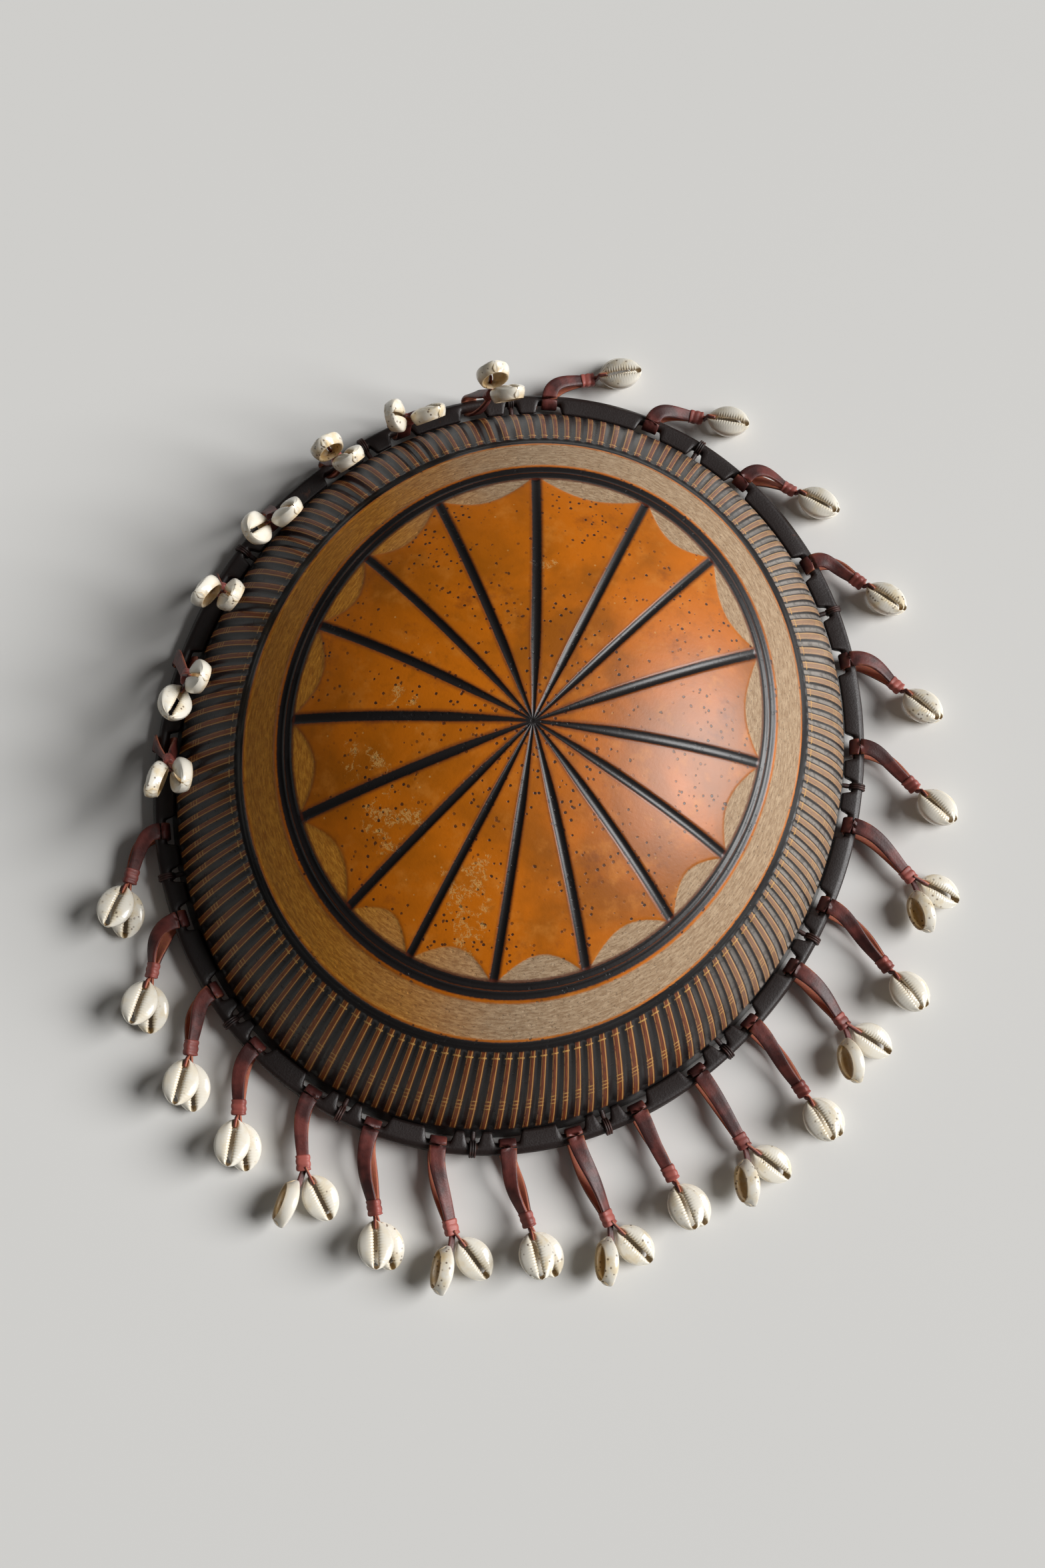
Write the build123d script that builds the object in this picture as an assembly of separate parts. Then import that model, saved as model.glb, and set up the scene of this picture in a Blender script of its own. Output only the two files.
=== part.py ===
"""Half-calabash rattle: an oval gourd bowl, mouth down, with a rolled leather cord lashed round its
rim and leather thongs looped over the cord, each thong ending in a pair of cowrie shells.

Millimetres, +Z up. The mouth's plane is z = 0 and the origin is its centre.
"""
import os
from math import cos, radians, sin, sqrt

from build123d import *

# Gourd bowl: a cap of an oval ellipsoid whose equator lies below the cut rim
rim_width = 310.0
rim_length = 352.0
bowl_depth = 103.0
equator_drop = 23.5
wall = 6.0
lip_round = 1.5

# Rolled leather cord round the rim
cord_diameter = 5.5
cord_height = 7.5

# Leather thong, folded over the cord
strap_thickness = 1.5
strap_width = 7.6
strap_width_at_neck = 5.0
loop_clearance = 0.3
hang_clearance = 0.35
eye_lengths = (34.0, 30.0, 36.0, 28.0, 33.0)
short_eye_length = 26.0
eye_opening = 4.4
lean_start = 8.0
twists = (0.0, 38.0, -24.0, 52.0, -40.0, 14.0)
neck_length = 7.0
neck_width = 6.6
neck_thickness = 4.8
neck_round = 1.8
neck_overlap = 2.0

# Cowrie shell: front end at x = 0, toothed slit underneath, back sliced off
shell_length = 21.0
shell_width = 15.5
front_round = 3.4
side_round = 11.6
base_drop = 2.7
base_curve = 26.0
back_rise = 4.5
shell_wall = 1.5
base_thickness = 1.5
slit_width = 1.9
slit_width_in_teeth = 1.1
slit_rise = 0.5
teeth = 8
teeth_from = 5.0
teeth_to = 18.0
tongue_depth = 4.0
tongue_thickness = 1.3
tongue_clearance = 0.3

# A pair of shells on its neck: each one's shift sideways and up, turn, rise, roll, distance and lift
splayed_pair = ((1.4, 0.0, 22.0, -6.0, 180.0, 2.5, 0.0), (-1.4, 0.0, -24.0, 8.0, 75.0, 4.0, 0.0))
stacked_pair = ((0.5, -1.2, 8.0, -4.0, 180.0, 3.0, 0.0), (-0.5, 1.6, -8.0, 18.0, 180.0, 2.5, 2.1))

# Where the thongs hang, as angles round the oval, and the side they trail towards
tassel_angles = (
    9.5, 21.8, 35.8, 53.0, 71.5, 90.5, 109.0, 122.5, 135.3, 148.0, 160.7, 173.4, 186.1, 199.0,
    212.2, 225.8, 238.0, 248.8, 260.4, 271.2, 282.0, 293.0, 303.5, 314.0, 324.8, 335.7, 346.2, 356.8,
)
trail_angle = 318.0
lean_gain = 0.67
lean_limit = 78.0
dome_from_angle = 118.0
dome_to_angle = 206.0
dome_lean_gain = 0.6
dome_lift = 106.0
splay_limit = 45.0

# Lashings that hold the cord to the bowl
tassels_per_tie = 2
tie_width = 3.0
tie_thickness = 1.0
tie_clearance = 0.12
tie_shank_diameter = 2.4
tie_hole_clearance = 0.3
tie_knot_diameter = 4.8

# Sizes that follow from the ones above
dome_height = bowl_depth + equator_drop
rim_share = sqrt(1 - (equator_drop / dome_height) ** 2)
dome_half_width = rim_width / 2 / rim_share
dome_half_length = rim_length / 2 / rim_share
cord_radius = cord_diameter / 2
loop_radius = cord_radius + loop_clearance
loop_outer_radius = loop_radius + strap_thickness
cord_ring_x = rim_width / 2 + hang_clearance + loop_outer_radius
cord_ring_y = rim_length / 2 + hang_clearance + loop_outer_radius


def ellipsoid(inset):
    """The dome's ellipsoid, made smaller by the inset on every side."""
    size = (dome_half_width - inset, dome_half_length - inset, dome_height - inset)
    return Pos(0, 0, -equator_drop) * scale(Sphere(1), by=size)


def above(height, reach):
    """A block that holds everything above the height."""
    return Pos(0, 0, height) * Box(reach, reach, reach, align=(Align.CENTER, Align.CENTER, Align.MIN))


def cord_frame(angle):
    """The place on the cord at an angle round the oval: x outward, y along the cord, z up."""
    across, along = cos(radians(angle)), sin(radians(angle))
    outward = Vector(across / cord_ring_x, along / cord_ring_y, 0).normalized()
    return Plane(
        origin=(cord_ring_x * across, cord_ring_y * along, cord_height),
        x_dir=outward,
        z_dir=(0, 0, 1),
    )


def depth_to_dome(frame, inset):
    """How far behind the cord's centre the ellipsoid with that inset lies, at the cord's height."""
    size_x, size_y, size_z = (h - inset for h in (dome_half_width, dome_half_length, dome_height))
    share = 1 - ((cord_height + equator_drop) / size_z) ** 2
    start, step = frame.origin, frame.x_dir
    a = (step.X / size_x) ** 2 + (step.Y / size_y) ** 2
    b = start.X * step.X / size_x**2 + start.Y * step.Y / size_y**2
    c = (start.X / size_x) ** 2 + (start.Y / size_y) ** 2 - share
    return (b - sqrt(b * b - a * c)) / a


def tie_frames():
    """The lashings stand midway between thongs, one for every few of them."""
    following = tassel_angles[1:] + (tassel_angles[0] + 360,)
    gaps = list(zip(tassel_angles, following))
    return [cord_frame((low + high) / 2) for low, high in gaps[::tassels_per_tie]]


def gourd_bowl():
    """The hollow half gourd, cut flat at the rim, with a small round hole for each lashing."""
    reach = 2 * rim_length
    bowl = (ellipsoid(0) - ellipsoid(wall)) & above(0, reach)
    lip = bowl.edges().filter_by_position(Axis.Z, 0, 0)
    bowl = fillet(lip, lip_round)
    hole = tie_shank_diameter / 2 + tie_hole_clearance
    for frame in tie_frames():
        drill = Cylinder(hole, rim_width / 4, rotation=(0, 90, 0))
        bowl -= frame.location * Pos(X=-rim_width / 8 - cord_radius) * drill
    return bowl


def rim_cord():
    """The rolled leather cord, one closed oval ring."""
    route = Pos(0, 0, cord_height) * Edge.make_ellipse(cord_ring_x, cord_ring_y)
    section = Plane(origin=route @ 0, x_dir=(1, 0, 0), z_dir=route % 0) * Circle(cord_radius)
    return sweep(section, path=route)


def cord_tie(frame):
    """A lashing: a band round the cord, a shank through the wall and a knot behind it."""
    inner = cord_radius + tie_clearance
    outer = inner + tie_thickness
    band = Cylinder(outer, tie_width, rotation=(90, 0, 0)) - Cylinder(inner, tie_width, rotation=(90, 0, 0))
    knot_radius = tie_knot_diameter / 2
    behind = depth_to_dome(frame, wall) + knot_radius + tie_hole_clearance
    start = cord_radius + tie_clearance + tie_thickness / 2
    shank = Pos(X=-(start + behind) / 2) * Cylinder(
        tie_shank_diameter / 2, behind - start, rotation=(0, 90, 0)
    )
    knot = Pos(X=-behind) * Sphere(knot_radius)
    return frame.location * (band + shank + knot)


def egg(inset):
    """The shell's round body, turned from three tangent arcs: a front end, a side and a rear end."""
    drop = side_round - shell_width / 2
    widest = front_round + sqrt((side_round - front_round) ** 2 - drop**2)
    rest = shell_length - widest
    rear_round = (rest**2 + drop**2 - side_round**2) / (2 * (rest - side_round))
    side, front, rear = Vector(widest, -drop), Vector(front_round, 0), Vector(shell_length - rear_round, 0)
    to_front, to_rear = (side + (end - side).normalized() * (side_round - inset) for end in (front, rear))
    tip, tail = Vector(inset, 0), Vector(shell_length - inset, 0)
    crown = Vector(widest, shell_width / 2 - inset)
    front_way = (to_front - front).normalized() + Vector(-1, 0)
    rear_way = (to_rear - rear).normalized() + Vector(1, 0)
    outline = [
        ThreePointArc(tip, front + front_way.normalized() * (front_round - inset), to_front),
        ThreePointArc(to_front, crown, to_rear),
        ThreePointArc(to_rear, rear + rear_way.normalized() * (rear_round - inset), tail),
        Line(tail, tip),
    ]
    return revolve(make_face(outline), Axis.X)


def slit_outline():
    """The slit between the lips: plain at both ends, toothed along the middle."""
    wide, narrow = slit_width / 2, slit_width_in_teeth / 2
    pitch = (teeth_to - teeth_from) / teeth
    lip = [(-1.0, wide), (teeth_from, wide)]
    for tooth in range(teeth):
        start = teeth_from + tooth * pitch
        lip += [(start + pitch / 2, narrow), (start + pitch, wide)]
    lip.append((shell_length + 1.0, wide))
    far_lip = [(x, -y) for x, y in reversed(lip)]
    return make_face(Polyline(*lip, *far_lip, close=True))


def cowrie():
    """One shell, hollow, gently domed underneath, with its back sliced open."""
    reach = 4 * shell_length
    base = Pos(shell_length / 2, 0, base_curve - base_drop) * Sphere(base_curve)
    body = egg(0) & base
    body -= above(back_rise, reach)
    body -= egg(shell_wall) & above(base_thickness - base_drop, reach)
    slit = Pos(Z=-base_drop - 1) * extrude(slit_outline(), amount=base_drop + 1 + slit_rise)
    return body - slit


def strap_on_edge(start, end, bottom, top):
    """A straight stretch of the thong's end, along x."""
    return Pos((start + end) / 2, 0, (bottom + top) / 2) * Box(end - start, tongue_thickness, top - bottom)


def tongue(tail, lift):
    """The end of a thong that lies in a shell's slit, stepped up to it by the lift, in the shell's frame."""
    low = tongue_clearance - base_drop
    high = slit_rise - tongue_clearance
    neck = -tail - neck_overlap
    if not lift:
        return strap_on_edge(neck, tongue_depth, low, high)
    step = strap_on_edge(neck, -tongue_clearance, low, lift - low)
    return step + strap_on_edge(-tail, tongue_depth, low, high)


def lean_of(angle):
    """How far a thong leans along the cord from straight out, in degrees."""
    off = (trail_angle - angle + 180) % 360 - 180
    if dome_from_angle < angle < dome_to_angle:
        return dome_lean_gain * (trail_angle - 180 - angle)
    return max(-lean_limit, min(lean_limit, lean_gain * off))


def centre_line(eye, lean, share):
    """A point on the eye's middle line and its direction, from the cord's centre to the neck."""
    away = Vector(cos(radians(lean)), sin(radians(lean)), 0)
    start, end = Vector(0, 0, 0), Vector(lean_start, 0, 0) + away * (eye - lean_start)
    handle = eye / 3
    first, second = start + Vector(handle, 0, 0), end - away * handle
    s, r = share, 1 - share
    point = start * r**3 + first * (3 * r * r * s) + second * (3 * r * s * s) + end * s**3
    slope = (first - start) * (r * r) + (second - first) * (2 * r * s) + (end - second) * (s * s)
    return point, slope.normalized()


def eye_section(eye, lean, twist, share):
    """The plane across the eye at a share of its length: x along the strap's width."""
    point, along = centre_line(eye, lean, share)
    level = Plane(origin=point, x_dir=Vector(0, 0, 1).cross(along), z_dir=along)
    return Plane(level.location * Rot(Z=twist * share * share * (3 - 2 * share)))


def strand(eye, lean, twist, side):
    """One of the two strands between the cord and the neck, bowed apart like an eye."""
    middle = (loop_radius + loop_outer_radius) / 2
    stations = ((0, middle), (0.3, eye_opening), (0.62, eye_opening * 0.7), (1, strap_thickness / 2))
    sections = []
    for share, offset in stations:
        width = strap_width + (strap_width_at_neck - strap_width) * share
        plane = eye_section(eye, lean, twist, share)
        sections.append(plane * Pos(Y=side * offset) * Rectangle(width, strap_thickness))
    return loft(sections)


def tassel(number, angle, shell):
    """A thong and its two shells as they lie, and the frame of the cord where they hang."""
    lean = lean_of(angle)
    on_dome = dome_from_angle < angle < dome_to_angle
    crowded = abs(lean) > splay_limit
    eye = short_eye_length if crowded else eye_lengths[number % len(eye_lengths)]
    twist = twists[number % len(twists)]
    splayed = number % 2 == 0 and not crowded

    fold = Cylinder(loop_outer_radius, strap_width, rotation=(90, 0, 0))
    fold -= Cylinder(loop_radius, strap_width, rotation=(90, 0, 0))
    fold &= Box(eye, strap_width, eye, align=(Align.MAX, Align.CENTER, Align.CENTER))
    thong = fold + strand(eye, lean, twist, 1) + strand(eye, lean, twist, -1)
    neck_plane = eye_section(eye, lean, twist, 1)
    neck_face = neck_plane * Pos(Z=-neck_overlap) * RectangleRounded(neck_width, neck_thickness, neck_round)
    thong += extrude(neck_face, amount=neck_length, dir=neck_plane.z_dir)

    neck_end = neck_plane.origin + neck_plane.z_dir * (neck_length - neck_overlap)
    outlet = Plane(origin=neck_end, x_dir=neck_plane.z_dir, z_dir=(0, 0, 1)).location
    shells = []
    for side, height, turn, rise, roll, tail, lift in splayed_pair if splayed else stacked_pair:
        place = outlet * Pos(0, side, height) * Rot(Z=turn) * Rot(Y=-rise) * Pos(X=tail, Z=lift) * Rot(X=roll)
        thong += place * tongue(tail, lift)
        shells.append(place * shell)

    flip = Rot(Y=-dome_lift) * Rot(X=180) if on_dome else Rot()
    seat = cord_frame(angle).location * flip
    return seat * thong, Compound(children=[seat * s for s in shells])


os.makedirs("parts", exist_ok=True)
export_step(gourd_bowl(), "parts/gourd_bowl.step")
export_step(rim_cord(), "parts/rim_cord.step")
export_step(Compound(children=[cord_tie(f) for f in tie_frames()]), "parts/cord_ties.step")
one_shell = cowrie()
for index, place in enumerate(tassel_angles):
    leather, pair = tassel(index, place, one_shell)
    export_step(leather, f"parts/tassel_{index + 1:02d}_thong.step")
    export_step(pair, f"parts/tassel_{index + 1:02d}_cowries.step")
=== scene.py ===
"""Dresses the frame of a half-calabash rattle: the burnt and carved gourd, the rolled leather cord round
its rim, the lashings that hold the cord, the looped thongs and the cowrie shells on their ends."""

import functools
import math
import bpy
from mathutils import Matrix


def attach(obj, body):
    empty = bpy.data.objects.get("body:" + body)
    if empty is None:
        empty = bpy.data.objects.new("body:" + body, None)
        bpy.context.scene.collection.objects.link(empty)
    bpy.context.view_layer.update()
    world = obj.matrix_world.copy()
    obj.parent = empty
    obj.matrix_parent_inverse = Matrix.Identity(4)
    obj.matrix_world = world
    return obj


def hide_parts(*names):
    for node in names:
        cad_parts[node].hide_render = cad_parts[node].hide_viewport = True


bl_info = {
    "name": "Cowrie-Hung Calabash Rattle",
    "version": (1, 0, 0),
    "blender": (4, 5, 0),
    "location": "View3D > Sidebar > Rattle",
    "description": "Builds the carved gourd, leather cord, thongs and cowrie shells of a rattle on its frame",
    "category": "Object",
}

import bmesh
import bpy
import numpy as np
from bpy.props import FloatProperty, FloatVectorProperty, IntProperty, PointerProperty
from mathutils import Matrix, Vector

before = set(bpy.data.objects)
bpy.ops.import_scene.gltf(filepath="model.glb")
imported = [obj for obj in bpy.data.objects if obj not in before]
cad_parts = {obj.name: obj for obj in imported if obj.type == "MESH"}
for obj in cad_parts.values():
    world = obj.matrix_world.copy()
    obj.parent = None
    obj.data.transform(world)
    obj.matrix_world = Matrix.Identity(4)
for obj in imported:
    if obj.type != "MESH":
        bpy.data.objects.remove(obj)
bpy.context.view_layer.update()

MM = 0.001
UP = Vector((0, 0, 1))
BOWL = "bowl"

# The photograph's size and where the hub lies in it, in pixels
PHOTO_WIDTH, PHOTO_HEIGHT = 1568, 2352
HUB_IN_PHOTO = (800, 1081)

# Degrees round the hub of the burnt spokes, and round the oval of the thongs
SPOKES = (-161.1, -136.8, -113.0, -95.6, -75.7, -54.1, -29.9, -8.8,
          16.4, 43.4, 66.9, 85.4, 109.9, 132.4, 153.7, 173.9)
THONG_ANGLES = (
    9.5, 21.8, 35.8, 53.0, 71.5, 90.5, 109.0, 122.5, 135.3, 148.0, 160.7, 173.4, 186.1, 199.0,
    212.2, 225.8, 238.0, 248.8, 260.4, 271.2, 282.0, 293.0, 303.5, 314.0, 324.8, 335.7, 346.2, 356.8,
)

# A thong leans towards the trailing angle, by a share of the way to it. In one stretch thongs lie on the dome
TRAIL_ANGLE, LEAN_GAIN, LEAN_LIMIT = 318.0, 0.67, 78.0
DOME_FROM, DOME_TO, DOME_LEAN_GAIN, DOME_LIFT = 118.0, 206.0, 0.6, 106.0
# A thong that leans further than this is crowded: its eye is short and its shells are stacked
SPLAY_LIMIT = 45.0
SHORT_EYE = 26.0
# Eye lengths in millimetres and twists in degrees, taken in turn
EYE_LENGTHS = (34.0, 30.0, 36.0, 28.0, 33.0)
TWISTS = (0.0, 38.0, -24.0, 52.0, -40.0, 14.0)
THONGS_PER_TIE = 2

# Spots where the skin has flaked, in millimetres from the crown, each with its reach
FLAKED = ((4, -80, 24), (-36, -66, 24), (10, -98, 18), (-52, -20, 16), (-58, -48, 18), (-20, 62, 12))
# The way over the dome towards the side that oil has browned. The other side faces the light and has painted
# sheen: paler hatch bars and grey in the hatch grooves
OILED_WAY = (-0.924, -0.37)

# Where a spoke has its full width, how much of a sector its crescent takes, and how deep the scraping is
SPOKE_GROWTH = 40 * MM
CRESCENT_SHARE = 0.93
CRESCENT_DEPTH, PALE_DEPTH, SOFT_EDGE = 0.35 * MM, 0.4 * MM, 0.4 * MM
# Waves that make the hatching uneven: how many go round, where each starts and its size in bars
BAR_WAVES = ((5, 0.0, 0.3), (13, 1.0, 0.2))
# Rows of points on the gourd start this near the crown, as a share, and crowd towards the rim
CROWN_SHARE, ROW_CROWDING = 0.004, 1.42

# The cord's flap: its gap to the gourd, how soon it comes out beside a strap, and its notches in strap widths
FLAP_GAP, FLAP_RAMP = 0.25 * MM, 2.2 * MM
THONG_NOTCH, TIE_NOTCH = 0.7, 0.8

# A pair of shells on its neck: each one's shift sideways and up, turn, rise, roll, distance and lift
SPLAYED_PAIR = ((1.4, 0.0, 22.0, -6.0, 180.0, 2.5, 0.0), (-1.4, 0.0, -24.0, 8.0, 75.0, 4.0, 0.0))
STACKED_PAIR = ((0.5, -1.2, 8.0, -4.0, 180.0, 3.0, 0.0), (-0.5, 1.6, -8.0, 18.0, 180.0, 2.5, 2.1))

# A strap's section, in halves of its width and thickness, and a step that varies the pattern between thongs
STRAP_OUTLINE = (
    (-1, 0), (-0.97, 0.7), (-0.86, 1), (-0.4, 1), (0, 1), (0.4, 1), (0.86, 1), (0.97, 0.7),
    (1, 0), (0.97, -0.7), (0.86, -1), (0.4, -1), (0, -1), (-0.4, -1), (-0.86, -1), (-0.97, -0.7),
)
STRAP_ACROSS, STRAP_SIDES = np.array(STRAP_OUTLINE, dtype=float).T
PATTERN_STEP = 0.37


def srgb(red, green, blue):
    """A colour picked on screen, 0 to 255, as linear light."""
    shares = (channel / 255 for channel in (red, green, blue))
    return tuple(s / 12.92 if s <= 0.04045 else ((s + 0.055) / 1.055) ** 2.4 for s in shares)


def length(name, description, millimetres):
    return FloatProperty(name=name, description=description, default=millimetres * MM, unit="LENGTH")


def arc(name, description, degrees):
    return FloatProperty(name=name, description=description, default=math.radians(degrees), subtype="ANGLE")


def amount(name, description, default):
    return FloatProperty(name=name, description=description, default=default, min=0)


def whole(name, description, default, least):
    return IntProperty(name=name, description=description, default=default, min=least)


def colour(name, description, red, green, blue):
    return FloatVectorProperty(
        name=name, description=description, default=srgb(red, green, blue), size=3, subtype="COLOR",
        min=0, max=1,
    )


class GourdSettings(bpy.types.PropertyGroup):
    """The half gourd, its carving and its colours."""

    rim_width: length("Rim width", "Across the mouth, on the oval's short axis", 310)
    rim_length: length("Rim length", "Across the mouth, on the oval's long axis", 352)
    depth: length("Depth", "From the mouth's plane to the crown", 103)
    equator_drop: length("Equator drop", "How far the dome's widest level lies below the mouth", 23.5)
    wall: length("Wall", "Thickness of the gourd's wall", 6)
    lip: length("Lip", "Rounding of the cut rim's edges", 1.5)
    hub: FloatVectorProperty(
        name="Hub", description="Where the spokes meet, from the crown", size=2, unit="LENGTH",
        default=(0.7 * MM, -7.1 * MM),
    )
    star_edge: length("Star edge", "Radius of the star field, on the short axis", 99.8)
    ring_edge: length("Ring edge", "Outer radius of the double black ring", 105.9)
    pale_from: length("Pale from", "Inner radius of the scraped band", 107.3)
    pale_to: length("Pale to", "Outer radius of the scraped band", 119.9)
    lines_from: length("Lines from", "Inner radius of the dark lines", 120.7)
    hatch_from: length("Hatch from", "Inner radius of the hatched band", 124.0)
    hatch_to: length("Hatch to", "Outer radius of the hatched band", 151.6)
    spoke_width: length("Spoke width", "Width of a burnt spoke at its outer end", 3.7)
    spoke_hub_width: length("Spoke hub width", "Width of a burnt spoke at the hub", 1.3)
    scallop: length("Scallop", "Depth of the scraped crescent at the end of each sector", 9.0)
    groove: length("Groove", "Depth of the burnt grooves", 0.9)
    bars: whole("Bars", "Bars round the hatched band", 150, 24)
    orange: colour("Orange", "The polished skin", 198, 106, 6)
    amber: colour("Amber", "Darker parts of the skin", 154, 84, 2)
    apricot: colour("Apricot", "Paler parts of the skin", 210, 130, 44)
    pale: colour("Pale", "The scraped wood under the skin", 186, 160, 130)
    streak: colour("Streak", "Fibres in the scraped wood", 132, 102, 72)
    stain: colour("Stain", "The scraped wood where oil has browned it", 222, 150, 40)
    char: colour("Char", "The burnt grooves", 28, 25, 25)
    scorch: colour("Scorch", "The scorched skin beside a groove", 84, 36, 20)
    bar: colour("Bar", "Skin left between the hatched grooves", 126, 62, 28)
    scratch: colour("Scratch", "Fine lines scratched through the skin", 208, 160, 88)
    # Painted sheen: the grey of the hatch grooves on the side that faces the light
    painted_sheen: colour("Dust", "Worn grey in the grooves of the side that is handled most", 150, 142, 134)
    inside: colour("Inside", "The gourd's inner wall", 196, 160, 108)


class CordSettings(bpy.types.PropertyGroup):
    """The rolled cord round the rim and its lashings."""

    diameter: length("Diameter", "Of the rolled cord", 5.5)
    height: length("Height", "Of the cord's centre above the mouth's plane", 7.5)
    hang_clearance: length("Hang clearance", "Between a thong's fold and the gourd", 0.35)
    tie_width: length("Tie width", "Of a lashing, along the cord", 3.0)
    tie_thickness: length("Tie thickness", "Of a lashing's lace", 1.0)
    tie_clearance: length("Tie clearance", "Between a lashing and the cord", 0.12)
    tie_shank: length("Tie shank", "Diameter of the lashing in the wall", 2.4)
    tie_knot: length("Tie knot", "Diameter of the knot behind the wall", 4.8)
    dark: colour("Dark", "The cord's worn upper side", 32, 22, 20)
    rosy: colour("Rosy", "The cord's under side", 72, 42, 36)
    worn: colour("Worn", "Spots worn through the dye", 110, 62, 38)


class ThongSettings(bpy.types.PropertyGroup):
    """The looped leather thongs."""

    thickness: length("Thickness", "Of the leather", 1.5)
    width: length("Width", "Of the strap at the cord", 7.6)
    neck_strap: length("Strap at neck", "Width of the strap where it is bound", 5.0)
    clearance: length("Clearance", "Between the fold and the cord", 0.3)
    opening: length("Opening", "Half the gap between the strands", 4.4)
    lean_start: length("Lean start", "Where the strap starts to lean", 8.0)
    neck_length: length("Neck length", "Of the binding", 7.0)
    neck_width: length("Neck width", "Of the binding", 6.6)
    neck_thickness: length("Neck thickness", "Of the binding", 4.8)
    neck_overlap: length("Neck overlap", "How far the binding grips the strap", 2.0)
    tongue_depth: length("Tongue depth", "How far the strap's end goes into a shell", 4.0)
    tongue_thickness: length("Tongue thickness", "Of the strap's end in the slit", 1.3)
    grain: colour("Grain", "The dyed outer side", 112, 54, 48)
    shade: colour("Shade", "Darker parts of the dye", 62, 28, 26)
    flesh: colour("Flesh", "The undyed inner side", 190, 120, 72)
    binding: colour("Binding", "The lace round the neck", 172, 92, 82)


class ShellSettings(bpy.types.PropertyGroup):
    """The cowrie shells."""

    length: length("Length", "From end to end", 21.0)
    width: length("Width", "Across the widest part", 15.5)
    front_round: length("Front rounding", "Radius of the narrow end", 3.4)
    side_round: length("Side rounding", "Radius of the flanks", 11.6)
    base: length("Base", "Depth below the shell's axis", 2.7)
    back: length("Back", "Height at which the back is sliced off", 4.5)
    wall: length("Wall", "Thickness of the shell", 1.5)
    slit: length("Slit", "Width of the slit between the lips", 1.9)
    slit_rise: length("Slit rise", "Top of the slit above the shell's axis", 0.5)
    teeth: whole("Teeth", "Teeth along each lip", 11, 2)
    ivory: colour("Ivory", "The lips and flanks", 240, 234, 220)
    cream: colour("Cream", "Warmer patches of the glaze", 228, 208, 168)
    honey: colour("Honey", "The cut edge and the inside", 206, 172, 112)
    grime: colour("Grime", "Dirt in the pits", 92, 66, 44)


class StageSettings(bpy.types.PropertyGroup):
    """The floor, the light and the camera."""

    floor: colour("Floor", "The pale ground", 222, 221, 218)
    floor_shade: colour("Floor shade", "Darker parts of the ground", 218, 217, 214)
    floor_reach: length("Floor reach", "From the floor's middle to its edge", 4000)
    floor_drop: length("Floor drop", "How far the floor lies below the rim", 0.2)
    window_strength: amount("Window", "Window-like light, in watts on a square metre", 4.1)
    window_angle: arc("Window angle", "How wide that light looks", 38)
    window_way: FloatVectorProperty(
        name="Window way", description="Where that light comes from", default=(0.72, 0.34, 0.6), size=3
    )
    sky: amount("Sky", "Strength of the even light all round", 0.07)
    backdrop: amount("Backdrop", "Brightness of the sky in the picture", 0.6)
    distance: length("Distance", "From the camera to the hub", 742.5)
    elevation: arc("Elevation", "Of the camera above the ground", 75)
    roll: arc("Roll", "Turn of the picture about the view", 22.5)
    focal_pixels: amount("Focal length", "In the picture's pixels", 2700.0)


def sum_of(operation, swapped=False):
    """A method that puts a shade, and what it is summed with, through one operation."""

    def method(self, *others):
        values = (*others, self) if swapped else (self, *others)
        return self.finish.node("ShaderNodeMath", {"operation": operation}, dict(enumerate(values)))

    return method


class Shade:
    """A shader socket that takes part in Python sums."""

    def __init__(self, finish, socket):
        self.finish = finish
        self.socket = socket

    __add__, __radd__ = sum_of("ADD"), sum_of("ADD", swapped=True)
    __sub__, __rsub__ = sum_of("SUBTRACT"), sum_of("SUBTRACT", swapped=True)
    __mul__, __truediv__ = sum_of("MULTIPLY"), sum_of("DIVIDE")
    __abs__, sine, power = sum_of("ABSOLUTE"), sum_of("SINE"), sum_of("POWER")
    most, arctan2 = sum_of("MAXIMUM"), sum_of("ARCTAN2")
    # What is left of a number after its whole part
    part = sum_of("FRACT")

    def hypot(self, other):
        return (self * self + other * other).power(0.5)

    def rise(self, low, high):
        """0 below low, 1 above high and a soft step between them."""
        return self.finish.node(
            "ShaderNodeMapRange", {"interpolation_type": "SMOOTHSTEP"}, {0: self, 1: low, 2: high}
        )

    def between(self, low, high, soft):
        """1 from low to high, falling softly to 0 outside."""
        return self.rise(low - soft, low + soft) * (1 - self.rise(high - soft, high + soft))


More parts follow.
